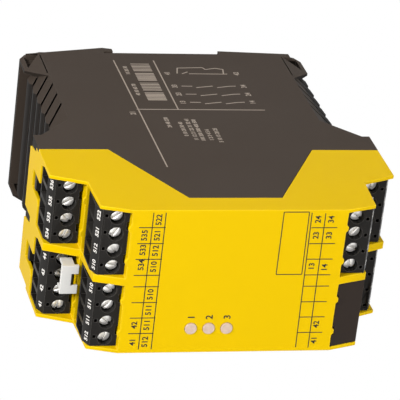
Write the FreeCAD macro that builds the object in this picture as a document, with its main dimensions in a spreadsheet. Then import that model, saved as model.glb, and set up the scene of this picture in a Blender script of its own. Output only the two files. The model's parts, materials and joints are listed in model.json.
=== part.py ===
"""Safety relay for a 35 mm mounting rail: stepped yellow hood, dark base, pull-off screw terminals.

Frame: X is the width, Y the depth with the front face towards -Y, and +Z is up as mounted.
The origin is the middle of the face that seats on the rail.  Millimetres.
"""
import FreeCAD, Part
import os
from math import cos, pi, sin

import Sketcher
from FreeCAD import Vector

doc = FreeCAD.newDocument("safety_relay")

SIZES = {
    # overall form, seen from the side
    "housing_width": 45.0,
    "face_depth": 107.0,        # front face to rail seat
    "face_height": 62.0,
    "case_height": 100.8,
    "tier_step": 19.0,          # second row of terminals lies this much deeper
    "tier_shift": 9.7,          # and this much further out
    "front_tip_out": 8.6,       # side wall's first corner, outwards from the face
    "front_tip_drop": 2.8,      # and behind it
    "shoulder_out": 9.4,
    "shoulder_depth": 17.6,
    "split_depth": 38.8,        # where hood and base meet at the ends
    "tongue_depth": 7.75,       # base's side tongues reach this near the face
    "tongue_top": 26.6,
    "tongue_foot": 60.4,
    # hood
    "side_wall": 1.1,
    "face_wall": 1.6,
    "end_wall": 1.1,
    "divider": 2.4,
    "hood_gap": 0.1,            # hood to base, all round
    "end_front_depth": 33.5,    # front edge of the outer end wall
    "flap_start": 42.0,
    "flap_depth": 50.0,
    "flap_inset": 2.6,          # corner of the base that shows beside each flap
    "flap_taper": 2.0,
    "flap_gap": 0.4,            # slit between the two flaps
    "notch_width": 5.6,
    "notch_depth": 9.8,
    "notch_round": 1.5,
    "corner_web": 1.5,
    "bay_floor": 2.5,           # floor of a bay, in front of the header's rear face
    "bead_width": 2.2,
    "bead_height": 0.6,
    "bead_depth": 1.2,
    "bead_pitch": 10.2,
    "bead_gap": 0.2,
    # terminals
    "pole_pitch": 5.08,
    "plug_width": 20.0,
    "plug_side_gap": 0.1,
    "plug_inner": 0.15,         # inner side, outwards from the tier's inner wall
    "plug_face": 2.4,           # screw face, behind the tier's front plane
    "plug_edge_out": 7.7,
    "plug_out": 9.2,
    "plug_slope_depth": 5.6,
    "plug_block_depth": 14.2,
    "plug_neck_out": 7.8,
    "plug_rear": 22.3,
    "lug_width": 4.8,
    "lug_out": 9.3,
    "lug_front": 20.3,
    "screw_out": 3.5,
    "head_bore": 4.0,
    "head_face": 4.4,
    "head_width": 3.6,
    "head_height": 1.6,
    "slot_width": 0.7,
    "slot_cut": 0.8,
    "shank_width": 2.5,
    "shank_hole": 2.8,
    "screw_tip": 11.4,
    "cage_width": 3.9,
    "cage_thick": 2.8,
    "cage_wall": 0.6,
    "cage_front": 9.0,
    "cage_rear": 16.2,
    "cage_gap": 0.2,
    "cavity_front": 8.0,
    "cavity_rear": 16.9,
    "mouth_width": 3.9,
    "mouth_front": 6.4,
    "mouth_rear": 13.8,
    "throat_front": 9.8,
    "throat_rear": 13.6,
    "test_hole": 1.0,
    "test_hole_out": 6.6,
    "test_hole_side": 0.6,      # beside the middle of its pole
    "test_hole_cut": 3.0,
    # contacts, pins and headers
    "strip_thick": 0.5,
    "strip_width": 1.6,
    "strip_face": 11.5,
    "strip_end": 21.8,
    "pin_thick": 0.8,
    "pin_tip": 17.7,
    "pin_gap": 0.02,
    "pin_bend_gap": 0.4,
    "pin_bend_pitch": 1.0,
    "header_gap": 0.3,
    "header_depth": 4.0,
    "header_out": 8.2,
    # base
    "base_sink": 0.05,          # base's sides lie this far behind the hood's
    "plate_half": 38.0,         # edge of the flat side plates beside the louvres
    "slope_start": 48.0,
    "slope_end": 59.0,
    "end_lip": 2.3,             # step down to the slope
    "base_wall": 1.5,
    "rear_wall": 4.0,
    "rear_half": 44.4,
    "rear_chamfer_in": 1.8,
    "rear_chamfer_depth": 2.2,
    "louvre_half": 43.6,
    "louvre_inset": 3.4,        # sides of the slats lean in by this much
    "louvre_wall": 1.5,
    "louvre_front": 53.0,
    "louvre_rear": 94.5,
    "louvre_fall": 6.0,         # slope at the rear end of the stack
    "slot_count": 5,
    "slot_pitch": 6.95,
    "slot_gap": 0.7,
    "slot_rake": 1.8,           # depth gained for each millimetre outwards
    "slot_first": 69.3,         # inner end of the foremost slot
    "slat_drop": 0.65,          # outer face of each slat falls by this much towards the rear
    "slat_nose": 1.7,           # and rises again behind each slot
    "louvre_rib": 2.0,
    "window_margin": 1.5,
    "gusset_front": 89.5,
    "gusset_tip": 96.2,
    "gusset_thick": 2.2,
    "gusset_lean": 1.4,
    "pocket_margin": 1.4,
    "seam_width": 0.4,
    "seam_cut": 0.5,
    "seam_front": 91.6,
    # rail seat
    "rail_width": 35.0,
    "rail_thick": 1.0,
    "rail_gap": 0.2,
    "hook_grip": 2.7,
    "hook_thick": 2.7,
    "hook_end": 42.5,
    "hook_fall": 5.2,
    "hook_chamfer": 0.8,
    "root_depth": 1.5,          # what stands on the rear wall starts this far inside it
    "foot_cheek": 2.3,
    "cheek_fall": 1.6,
    "foot_end": 41.0,
    "foot_top": 18.6,
    # foot latch
    "latch_width": 17.0,
    "latch_gap": 0.15,
    "latch_thick": 2.6,
    "latch_grip": 2.5,
    "latch_bottom": 47.5,
    "latch_travel": 3.5,
    "eye_width": 6.0,
    "eye_height": 1.6,
    "eye_margin": 1.5,
    "latch_nose": 0.7,
    "window_width": 8.0,
    "window_top": 24.0,
    "window_bottom": 38.0,
    "stub_height": 2.0,
    "stop_gap": 0.3,            # left below the stop at full travel
    "spring_thick": 0.4,
    "spring_depth": 1.6,
    "spring_width": 6.0,
    "spring_turns": 4,
    # face parts and inner parts
    "cover_wall": 1.2,
    "cover_sink": 0.25,
    "pipe_width": 3.4,
    "pipe_pitch": 5.2,
    "pipe_side": 14.8,
    "pipe_mid": 5.4,
    "pipe_proud": 0.25,
    "pipe_length": 5.6,
    "pipe_gap": 0.05,
    "pipe_margin": 1.0,
    "pipe_strip": 1.0,
    "led_size": 2.0,
    "board_thick": 1.6,
    "board_gap": 0.3,
    "board_front": 4.0,
    "led_board_depth": 8.6,
    "led_board_reach": 4.0,
    "relay_long": 29.0,
    "relay_wide": 12.6,
    "relay_tall": 25.5,
    "relay_pitch": 14.0,
    "relay_first": 54.0,
    "coil_long": 28.0,
    "coil_wide": 22.0,
    "coil_tall": 22.0,
    "coil_first": 30.0,
    "can_width": 12.5,
    "can_long": 25.0,
    "can_first": 58.0,
    "can_pitch": 15.0,
    "link_depth": 98.0,
    "link_thick": 2.5,
    "link_long": 20.0,
    "clip_start": -0.8,         # first end, beside the middle of its plug
    "clip_long": 9.0,
    "clip_top": 5.4,
    "clip_wall": 1.0,
    "clip_inner": -0.2,
    "clip_outer": 4.9,
    "clip_notch": 2.0,
    "clip_ear": 2.7,
    "clip_foot_inset": 0.4,
}

sheet = doc.addObject("Spreadsheet::Sheet", "sizes")
for row, (alias, number) in enumerate(SIZES.items(), start=1):
    sheet.set("A%d" % row, alias.replace("_", " "))
    sheet.set("B%d" % row, str(number))
    sheet.setAlias("B%d" % row, alias)
doc.recompute()


class Size:
    """A length with its value and the sheet expression that gives it."""

    def __init__(self, value, text):
        self.value = value
        self.text = text

    @staticmethod
    def of(other):
        return other if isinstance(other, Size) else Size(float(other), repr(float(other)))

    def _join(self, sign, other, value):
        return Size(value, "(%s %s %s)" % (self.text, sign, other.text))

    def __add__(self, other):
        other = Size.of(other)
        return self._join("+", other, self.value + other.value)

    def __radd__(self, other):
        return Size.of(other) + self

    def __sub__(self, other):
        other = Size.of(other)
        return self._join("-", other, self.value - other.value)

    def __rsub__(self, other):
        return Size.of(other) - self

    def __mul__(self, other):
        other = Size.of(other)
        return self._join("*", other, self.value * other.value)

    def __rmul__(self, other):
        return Size.of(other) * self

    def __truediv__(self, other):
        other = Size.of(other)
        return self._join("/", other, self.value / other.value)

    def __neg__(self):
        return Size.of(0) - self


class Sheet:
    """Reads a size by its alias, as a Size."""

    def __getattr__(self, alias):
        return Size(float(sheet.get(alias)), "sizes." + alias)


s = Sheet()


def bind(thing, path, size):
    """Set a property from a size, bound to the sheet when the size comes from it."""
    thing.setExpression(path, Size.of(size).text)


# ---------------------------------------------------------------- building blocks

PLANES = {"X": "YZ_Plane", "Y": "XZ_Plane", "Z": "XY_Plane"}


def origin_part(body, role):
    return [item for item in body.Origin.OriginFeatures if item.Role == role][0]


def new_body(name):
    body = doc.addObject("PartDesign::Body", name)
    body.Label = name
    return body


def new_sketch(body, axis, start):
    """A sketch square to an axis, at a distance along it."""
    sketch = body.newObject("Sketcher::SketchObject", body.Name + "_sketch")
    sketch.AttachmentSupport = [(origin_part(body, PLANES[axis]), "")]
    sketch.MapMode = "FlatFace"
    offset = -Size.of(start) if axis == "Y" else Size.of(start)
    bind(sketch, "AttachmentOffset.Base.z", offset)
    return sketch


def draw_outline(sketch, points):
    """Close a polygon through the points and hold each corner by its two distances."""
    corners = [(Size.of(a), Size.of(b)) for a, b in points]
    first = sketch.GeometryCount
    count = len(corners)
    for i in range(count):
        here = corners[i]
        there = corners[(i + 1) % count]
        line = Part.LineSegment(Vector(here[0].value, here[1].value, 0),
                                Vector(there[0].value, there[1].value, 0))
        sketch.addGeometry(line, False)
    for i in range(count):
        after = first + (i + 1) % count
        sketch.addConstraint(Sketcher.Constraint("Coincident", first + i, 2, after, 1))
    for i in range(count):
        for kind, size in zip(("DistanceX", "DistanceY"), corners[i]):
            rule = Sketcher.Constraint(kind, -1, 1, first + i, 1, size.value)
            index = sketch.addConstraint(rule)
            if "sizes." in size.text:
                bind(sketch, "Constraints[%d]" % index, size)


def rectangle(left, right, low, high):
    return [(left, low), (right, low), (right, high), (left, high)]


def round_outline(across, up, width, sides):
    """A many-sided outline in place of a circle; its flats keep the width."""
    reach = width / 2 / cos(pi / sides)
    turns = [2 * pi * (i + 0.5) / sides for i in range(sides)]
    return [(across + reach * cos(turn), up + reach * sin(turn)) for turn in turns]


def add_prism(body, axis, start, end, *outlines):
    """Pad outlines from start to end along an axis."""
    return _prism(body, "PartDesign::Pad", axis, start, end, outlines)


def cut_prism(body, axis, start, end, *outlines):
    """Pocket outlines from start to end along an axis."""
    return _prism(body, "PartDesign::Pocket", axis, start, end, outlines)


def _prism(body, kind, axis, start, end, outlines):
    sketch = new_sketch(body, axis, start)
    for outline in outlines:
        draw_outline(sketch, outline)
    feature = body.newObject(kind, body.Name + "_" + kind.split("::")[1].lower())
    feature.Profile = sketch
    bind(feature, "Length", Size.of(end) - start)
    # the sketch on the XZ plane looks towards -Y, so its prisms run backwards
    backwards = axis == "Y"
    feature.Reversed = (kind == "PartDesign::Pocket") != backwards
    body.Tip = feature
    return feature


def repeat(body, features, axis, pitch, count):
    """Repeat features along an axis of the body."""
    doc.recompute()
    pattern = body.newObject("PartDesign::LinearPattern", body.Name + "_pattern")
    pattern.Originals = features
    pattern.Direction = (origin_part(body, axis + "_Axis"), [""])
    bind(pattern, "Length", Size.of(pitch) * (Size.of(count) - 1))
    bind(pattern, "Occurrences", count)
    body.Tip = pattern
    return pattern


def at(depth):
    """Y of a plane that lies this far behind the front face."""
    return depth - s.face_depth


def mirror_up(points, end):
    """An outline for the upper end (+1) or, turned over, for the lower end (-1)."""
    return [(a, b if end > 0 else -Size.of(b)) for a, b in points]


# ---------------------------------------------------------------- shared planes

CLEAR = 1.0     # a cut runs this far past the faces that it opens
POLES = 4
FACE_SIDES = 24
BORE_SIDES = 12
SHANK_SIDES = 8

half_width = s.housing_width / 2
base_half = half_width - s.base_sink
face_half = s.face_height / 2
case_half = s.case_height / 2
inner_half = half_width - s.side_wall
divider_half = s.divider / 2
bay_middle = (inner_half + divider_half) / 2
front_tip = face_half + s.front_tip_out
shoulder = face_half + s.shoulder_out
rear_tip_depth = s.tier_step + s.front_tip_drop
rear_inner = face_half + s.tier_shift
header_front = s.plug_rear + s.header_gap
header_rear = header_front + s.header_depth
bay_floor = header_rear - s.bay_floor
rear_bay_floor = bay_floor + s.tier_step
end_plane = case_half - s.end_wall - s.hood_gap

ENDS = {"upper": 1, "lower": -1}
SIDES = {"right": 1, "left": -1}
TIERS = {"front": 0, "rear": 1}
PLACES = [(end, tier, side) for end in ENDS for tier in TIERS for side in SIDES]
COVERED = ("lower", "front", "left")
TERMINALS = [place for place in PLACES if place != COVERED]


def seat(item, place):
    """Put a terminal piece, drawn about its tier's inner front edge, in its place."""
    end, tier, side = place
    bind(item, "Placement.Base.x", bay_middle * SIDES[side])
    bind(item, "Placement.Base.y", s.tier_step * TIERS[tier] - s.face_depth)
    bind(item, "Placement.Base.z", (face_half + s.tier_shift * TIERS[tier]) * ENDS[end])
    if ENDS[end] < 0:
        item.Placement.Rotation = FreeCAD.Rotation(Vector(0, 1, 0), 180)


def terminal_name(piece, place):
    return "%s_%s_%s_%s" % ((piece,) + place)


# ---------------------------------------------------------------- hood

def hood_outline(end):
    """Upper or lower half of the hood's side view, from the middle of the face round."""
    half = [(at(0), face_half), (at(s.front_tip_drop), front_tip), (at(s.shoulder_depth), shoulder),
            (at(rear_tip_depth), case_half), (at(s.flap_depth), case_half)]
    return mirror_up(half, end)


def hood_cavity(end):
    """Half of the inner space: it steps out behind each row of terminals."""
    half = [(at(s.face_wall), face_half - s.end_wall), (at(bay_floor), face_half - s.end_wall),
            (at(bay_floor), shoulder - s.end_wall), (at(rear_bay_floor), shoulder - s.end_wall),
            (at(rear_bay_floor), case_half - s.end_wall),
            (at(s.flap_depth + CLEAR), case_half - s.end_wall)]
    return mirror_up(half, end)


def terminal_bay(end):
    """Side view of the space for one column's two plugs, open outwards and to the front."""
    beyond = case_half + CLEAR
    half = [(at(-CLEAR), face_half), (at(bay_floor), face_half),
            (at(bay_floor), shoulder - s.end_wall), (at(s.shoulder_depth), shoulder - s.end_wall),
            (at(s.shoulder_depth), shoulder), (at(rear_bay_floor), shoulder),
            (at(rear_bay_floor), case_half - s.end_wall),
            (at(s.end_front_depth), case_half - s.end_wall),
            (at(s.end_front_depth), beyond), (at(-CLEAR), beyond)]
    return mirror_up(half, end)


def make_front_housing():
    body = new_body("front_housing")
    outline = hood_outline(1) + hood_outline(-1)[::-1]
    add_prism(body, "X", -half_width, half_width, outline)
    cavity = hood_cavity(1) + hood_cavity(-1)[::-1]
    cut_prism(body, "X", -inner_half, inner_half, cavity)
    for end in ENDS.values():
        cut_prism(body, "X", -inner_half, -divider_half, terminal_bay(end))
        cut_prism(body, "X", divider_half, inner_half, terminal_bay(end))
    # side walls make room for the base's tongues and end plates
    tongue = tongue_outline(s.hood_gap)
    for left, right in ((-half_width, -inner_half), (inner_half, half_width)):
        cut_prism(body, "X", left, right, tongue)
    for end in ENDS.values():
        cut_flaps(body, end)
        add_corner_webs(body, end)
        for side in SIDES.values():
            cut_notch(body, end, side)
            add_beads(body, end, side)
    cut_light_holes(body)
    return body


def tongue_outline(gap):
    """Side view of the base's full-width side plates in front of the louvres."""
    top = s.tongue_depth - gap
    foot = s.split_depth - gap
    end = case_half + CLEAR
    return [(at(top), -s.tongue_top / 2 - gap), (at(top), s.tongue_top / 2 + gap),
            (at(foot), s.tongue_foot / 2 + gap), (at(foot), end),
            (at(s.flap_depth + CLEAR), end), (at(s.flap_depth + CLEAR), -end),
            (at(foot), -end), (at(foot), -s.tongue_foot / 2 - gap)]


def flap_edges(side_plate):
    """Near and far corner of the flap's slanted edge beside a wall face at side_plate."""
    near = side_plate - s.flap_inset + s.side_wall
    return near, near - s.flap_taper


def end_levels(end, inner, outer):
    """Low and high Z of a layer between two heights of the upper or the lower end."""
    return (inner, outer) if end > 0 else (-outer, -inner)


def cut_flaps(body, end):
    """Trim the end wall to two flaps, one behind each column."""
    low, high = end_levels(end, case_half - s.end_wall - CLEAR, case_half + CLEAR)
    for wall, beyond in ((inner_half, half_width + CLEAR), (-divider_half, -divider_half + s.flap_gap)):
        near, far = flap_edges(wall)
        outline = [(near, at(s.flap_start)), (beyond, at(s.flap_start)),
                   (beyond, at(s.flap_depth + CLEAR)), (far, at(s.flap_depth + CLEAR))]
        cut_prism(body, "Z", low, high, outline)


def add_corner_webs(body, end):
    """Small webs that join the end wall's front edge to the wall on its +X side."""
    low, high = end_levels(end, rear_inner + s.plug_out + s.plug_side_gap, case_half)
    for wall in (inner_half, -divider_half):
        outline = [(wall, at(s.end_front_depth)), (wall - s.corner_web, at(s.end_front_depth)),
                   (wall, at(s.end_front_depth - 3 * s.corner_web))]
        add_prism(body, "Z", low, high, outline)


def cut_notch(body, end, side):
    """The slot in the end wall that the rear plug's lug slides through."""
    low, high = end_levels(end, case_half - s.end_wall - CLEAR, case_half + CLEAR)
    middle = bay_middle * side
    half = s.notch_width / 2
    front = at(s.end_front_depth)
    outline = [(middle - half - s.notch_round, front - CLEAR), (middle - half - s.notch_round, front),
               (middle - half, front + s.notch_round), (middle - half, front + s.notch_depth),
               (middle + half, front + s.notch_depth), (middle + half, front - CLEAR)]
    cut_prism(body, "Z", low, high, outline)


def add_beads(body, end, side):
    """Two snap beads on the edge in front of each plug, sloped at both ends."""
    for edge, depth in ((face_half, Size.of(0)), (shoulder, s.shoulder_depth)):
        for step in (-0.5, 0.5):
            middle = bay_middle * side + s.bead_pitch * step
            half = s.bead_width / 2
            top = [(middle - half, edge), (middle - half / 2, edge + s.bead_height),
                   (middle + half / 2, edge + s.bead_height), (middle + half, edge)]
            add_prism(body, "Y", at(depth), at(depth + s.bead_depth), mirror_up(top, end))


def cut_light_holes(body):
    holes = [round_outline(-s.pipe_side, s.pipe_mid + s.pipe_pitch * step,
                           s.pipe_width + 2 * s.pipe_gap, FACE_SIDES) for step in (-1, 0, 1)]
    cut_prism(body, "Y", at(-CLEAR), at(s.face_wall + CLEAR), *holes)


# ---------------------------------------------------------------- base

def base_side(end):
    """Half of the base's side view in front of the rear wall."""
    half = [(at(s.tongue_depth), s.tongue_top / 2), (at(s.split_depth), s.tongue_foot / 2),
            (at(s.split_depth), case_half), (at(s.slope_start), case_half),
            (at(s.slope_start), case_half - s.end_lip), (at(s.slope_end), s.plate_half),
            (at(s.face_depth), s.plate_half)]
    return mirror_up(half, end)


def base_cavity(end):
    """Half of the base's inner space, wide open where the rear terminals reach in."""
    behind = at(header_rear + s.tier_step + s.header_gap)
    half = [(at(s.tongue_depth - CLEAR), end_plane), (behind, end_plane),
            (behind, end_plane - s.base_wall),
            (at(s.slope_end - s.base_wall), s.plate_half - s.louvre_wall),
            (at(s.face_depth) - s.rear_wall, s.plate_half - s.louvre_wall)]
    return mirror_up(half, end)


# top of the stop that the latch's spring stands on
stop_top = -s.window_bottom + s.latch_travel + s.stop_gap + s.stub_height


def make_base_housing():
    body = new_body("base_housing")
    outline = base_side(1) + base_side(-1)[::-1]
    add_prism(body, "X", -base_half, base_half, outline)
    for end in ENDS.values():
        add_louvres(body, end)
        add_rear_end(body, end)
        cut_flap_seats(body, end)
    cavity = base_cavity(1) + base_cavity(-1)[::-1]
    cut_prism(body, "X", -inner_half, inner_half, cavity)
    add_upper_hook(body)
    add_foot_cheeks(body)
    return body


def add_louvres(body, end):
    """A raked stack of slats with leaning sides, open between its ribs to the inside."""
    half = base_half - s.louvre_inset
    inner = s.plate_half - s.louvre_wall
    rear = s.louvre_rear
    stack = [(-inner_half, inner), (-base_half, s.plate_half), (-half, s.louvre_half),
             (half, s.louvre_half), (base_half, s.plate_half), (inner_half, inner)]
    add_prism(body, "Y", at(s.louvre_front), at(rear + s.louvre_fall), mirror_up(stack, end))
    fall = [(at(rear), s.louvre_half), (at(rear), s.louvre_half + CLEAR),
            (at(rear + s.louvre_fall + CLEAR), s.louvre_half + CLEAR),
            (at(rear + s.louvre_fall + CLEAR), s.plate_half),
            (at(rear + s.louvre_fall), s.plate_half)]
    cut_prism(body, "X", -base_half - CLEAR, base_half + CLEAR, mirror_up(fall, end))
    # the first slot and the nose behind it are cut, then repeated towards the rear
    reach = s.louvre_half + CLEAR - s.plate_half
    near = at(s.slot_first)
    far = near + 2 * s.slot_gap
    slot = [(near, s.plate_half), (far, s.plate_half),
            (far - reach * s.slot_rake, s.plate_half + reach),
            (near - reach * s.slot_rake, s.plate_half + reach)]
    low = s.louvre_half - s.slat_drop
    notch = far - (low - s.plate_half) * s.slot_rake
    tip = notch + s.slat_nose
    nose = [(notch, low), (tip, s.louvre_half), (tip, s.louvre_half + CLEAR),
            (tip - s.slot_pitch, s.louvre_half + CLEAR), (tip - s.slot_pitch, s.louvre_half)]
    cuts = [cut_prism(body, "X", -base_half - CLEAR, base_half + CLEAR, mirror_up(outline, end))
            for outline in (slot, nose)]
    repeat(body, cuts, "Y", s.slot_pitch, s.slot_count)
    # windows between three ribs let the air through
    rib = s.louvre_rib
    front = at(s.slot_first - s.window_margin)
    low, high = end_levels(end, inner - CLEAR, s.plate_half + s.window_margin / 3)
    for left, right in ((-half + rib, -rib / 2), (rib / 2, half - rib)):
        cut_prism(body, "Z", low, high, rectangle(left, right, front, at(rear + s.window_margin)))


def add_rear_end(body, end):
    """The rear wall beyond the side plates and the leaning corner gussets with their pockets."""
    rear = at(s.face_depth)
    front = rear - s.rear_wall
    root = s.plate_half - s.louvre_wall
    wall = [(front, root), (front, s.rear_half), (rear - s.rear_chamfer_depth, s.rear_half),
            (rear, s.rear_half - s.rear_chamfer_in), (rear, root)]
    add_prism(body, "X", -base_half, base_half, mirror_up(wall, end))
    gusset = [(at(s.gusset_front), s.plate_half), (at(s.gusset_tip), s.rear_half),
              (front, s.rear_half), (front, s.plate_half)]
    margin = s.pocket_margin
    pocket = [(rear - margin, s.rear_half - margin), (rear - margin, s.plate_half + margin / 2),
              (at(s.gusset_tip + margin), s.rear_half - margin)]
    seam = rectangle(at(s.seam_front), rear - margin, s.plate_half, s.plate_half + s.seam_width)
    for side in SIDES.values():
        outer = base_half * side
        inner = (base_half - s.gusset_thick) * side
        left, right = (inner, outer) if side > 0 else (outer, inner)
        add_prism(body, "X", left, right, mirror_up(gusset, end))
        cut_prism(body, "X", left, right, mirror_up(pocket, end))
        lean = [(outer, s.plate_half), ((base_half + CLEAR) * side, s.plate_half),
                ((base_half + CLEAR) * side, s.rear_half),
                ((base_half - s.gusset_lean) * side, s.rear_half)]
        cut_prism(body, "Y", at(s.gusset_front), rear, mirror_up(lean, end))
        floor = (base_half - s.seam_cut) * side
        left, right = (floor, outer) if side > 0 else (outer, floor)
        cut_prism(body, "X", left, right, mirror_up(seam, end))


def cut_flap_seats(body, end):
    """Recesses in the end wall that the hood's two flaps lie in."""
    low, high = end_levels(end, end_plane, case_half + CLEAR)
    front = at(s.split_depth - CLEAR)
    bend = at(s.flap_start + s.hood_gap)
    rear = at(s.slope_end)
    gap = s.hood_gap
    near, far = flap_edges(inner_half)
    near_mid, far_mid = flap_edges(-divider_half)
    inside = -divider_half + s.flap_gap
    column = [(inside - gap, front), (inner_half, front), (inner_half, bend), (near + gap, bend),
              (far + gap, rear), (inside - gap, rear)]
    other = [(-half_width - CLEAR, front), (inside, front), (inside, bend),
             (near_mid + gap, bend), (far_mid + gap, rear), (-half_width - CLEAR, rear)]
    cut_prism(body, "Z", low, high, column)
    cut_prism(body, "Z", low, high, other)


def add_upper_hook(body):
    """Fixed hook over the rail's upper edge, its back sloping down towards the end."""
    clear = s.rail_thick + s.rail_gap
    back = clear + s.hook_thick
    root = s.rail_width / 2 + s.rail_gap
    tip = s.rail_width / 2 - s.hook_grip
    hook = [(-s.root_depth, root), (clear, root), (clear, tip), (back - s.hook_chamfer, tip),
            (back, root), (back - s.hook_fall, s.hook_end), (-s.root_depth, s.hook_end)]
    add_prism(body, "X", -base_half, base_half, hook)


def add_foot_cheeks(body):
    """Two cheeks that guide the foot latch, and the spring's stop between them."""
    inside = s.latch_width / 2 + s.latch_gap
    root = -s.root_depth
    cheek = [(root, -s.foot_top), (s.foot_cheek, -s.foot_top),
             (s.foot_cheek - s.cheek_fall, -s.foot_end), (root, -s.foot_end)]
    add_prism(body, "X", inside, base_half, cheek)
    add_prism(body, "X", -base_half, -inside, cheek)
    stub = s.window_width / 2 - s.latch_gap
    stop = rectangle(root, s.latch_gap + s.latch_thick, stop_top - s.stub_height, stop_top)
    add_prism(body, "X", -stub, stub, stop)


# ---------------------------------------------------------------- foot latch and spring

def make_foot_latch():
    """Sliding latch behind the rail's lower edge, with a window for its spring and a pull eye."""
    body = new_body("foot_latch")
    half = s.latch_width / 2
    front = s.latch_gap
    back = s.latch_gap + s.latch_thick
    grip_front = s.rail_thick + s.rail_gap
    shelf = -s.rail_width / 2 - s.rail_gap
    grip_top = -s.rail_width / 2 + s.latch_grip
    bottom = -s.latch_bottom
    profile = [(front, shelf), (grip_front, shelf), (grip_front, grip_top),
               (back - s.latch_nose, grip_top), (back, grip_top - 2 * s.latch_nose),
               (back, bottom), (front, bottom)]
    add_prism(body, "X", -half, half, profile)
    window = rectangle(-s.window_width / 2, s.window_width / 2, -s.window_bottom, -s.window_top)
    cut_prism(body, "Y", front - CLEAR, back + CLEAR, window)
    eye = rectangle(-s.eye_width / 2, s.eye_width / 2, bottom + s.eye_margin,
                    bottom + s.eye_margin + s.eye_height)
    cut_prism(body, "Y", front - CLEAR, back + CLEAR, eye)
    return body


def make_latch_spring():
    """Folded strip spring between the latch's window and the base's stop."""
    body = new_body("latch_spring")
    top = -s.window_top
    bottom = stop_top
    half = s.spring_width / 2
    thick = s.spring_thick
    legs = 2 * int(s.spring_turns.value)
    pitch = (top - bottom - thick) / legs
    bend = half * (1 - thick / pitch)
    # each edge of the strip is blunt where it goes round a turn and sharp inside the next
    rising = [(-half, bottom)]
    falling = [(-half, bottom + thick)]
    for turn in range(1, legs):
        level = bottom + pitch * turn
        if turn % 2:
            rising += [(half, level), (half, level + thick)]
            falling += [(bend, level + thick / 2)]
        else:
            rising += [(-bend, level + thick / 2)]
            falling += [(-half, level), (-half, level + thick)]
    rising.append((-half, top))
    falling.append((-half, top - thick))
    outline = rising + falling[::-1]
    middle = s.latch_gap + s.latch_thick / 2
    add_prism(body, "Y", middle - s.spring_depth / 2, middle + s.spring_depth / 2, outline)
    return body


# ---------------------------------------------------------------- plug terminals

first_pole = -s.pole_pitch * (POLES - 1) / 2
clamp_floor = s.screw_out - s.cage_thick / 2 - s.cage_gap - s.strip_thick
clamp_roof = s.screw_out + s.cage_thick / 2 + s.cage_gap
# inner face of the header pins, beside the contact strips
pin_low = clamp_floor + s.strip_thick + s.pin_gap


def make_plug(place):
    """Moulded plug: stepped block with bores, funnels, clamp cavities and sockets."""
    body = new_body(terminal_name("plug", place))
    half = s.plug_width / 2
    profile = [(s.plug_face, s.plug_inner), (s.plug_face, s.plug_edge_out),
               (s.plug_slope_depth, s.plug_out), (s.plug_block_depth, s.plug_out),
               (s.plug_block_depth, s.plug_neck_out), (s.plug_rear, s.plug_neck_out),
               (s.plug_rear, s.plug_inner)]
    add_prism(body, "X", -half, half, profile)
    cut_bead_grooves(body, s.plug_face, s.plug_rear)
    ledge = s.head_face + s.head_height
    bore = round_outline(first_pole, s.screw_out, s.head_bore, BORE_SIDES)
    hole = round_outline(first_pole, s.screw_out, s.shank_hole, SHANK_SIDES)
    cuts = [cut_prism(body, "Y", s.plug_face, ledge, bore),
            cut_prism(body, "Y", ledge, s.cavity_front, hole)]
    cavity_half = s.cage_width / 2 + s.cage_gap
    space = rectangle(first_pole - cavity_half, first_pole + cavity_half, clamp_floor, clamp_roof)
    cuts.append(cut_prism(body, "Y", s.cavity_front, s.cavity_rear, space))
    socket_half = s.strip_width / 2 + s.cage_gap / 2
    socket = rectangle(first_pole - socket_half, first_pole + socket_half, clamp_floor,
                       pin_low + s.pin_thick + s.cage_gap)
    cuts.append(cut_prism(body, "Y", s.cavity_rear, s.plug_rear, socket))
    mouth_half = s.mouth_width / 2
    funnel = [(s.mouth_front, s.plug_out), (s.mouth_rear, s.plug_out),
              (s.throat_rear, clamp_roof), (s.throat_front, clamp_roof)]
    cuts.append(cut_prism(body, "X", first_pole - mouth_half, first_pole + mouth_half, funnel))
    test_left = first_pole + s.test_hole_side - s.test_hole / 2
    test_low = s.test_hole_out - s.test_hole / 2
    test = rectangle(test_left, test_left + s.test_hole, test_low, test_low + s.test_hole)
    cuts.append(cut_prism(body, "Y", s.plug_face, s.plug_face + s.test_hole_cut, test))
    repeat(body, cuts, "X", s.pole_pitch, POLES)
    if TIERS[place[1]]:
        lug = rectangle(s.lug_front, s.plug_rear, s.plug_neck_out - s.plug_side_gap, s.lug_out)
        add_prism(body, "X", -s.lug_width / 2, s.lug_width / 2, lug)
    seat(body, place)
    return body


def cut_bead_grooves(body, front, rear):
    """Grooves in a piece's inner side that pass the hood's two snap beads."""
    half = s.bead_width / 2 + s.bead_gap
    floor = s.plug_inner + s.bead_height
    grooves = [rectangle(s.bead_pitch * step - half, s.bead_pitch * step + half, s.plug_inner, floor)
               for step in (-0.5, 0.5)]
    cut_prism(body, "Y", front, rear, *grooves)


SLOT_ANGLES = {
    ("upper", "rear", "right"): (20, 140, 60, 65),
    ("upper", "front", "right"): (100, 150, 35, 55),
    ("upper", "rear", "left"): (0, 70, 120, 150),
    ("upper", "front", "left"): (15, 130, 40, 125),
    ("lower", "rear", "right"): (0, 50, 90, 20),
    ("lower", "front", "right"): (130, 40, 115, 165),
    ("lower", "rear", "left"): (75, 30, 160, 110),
}


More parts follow.
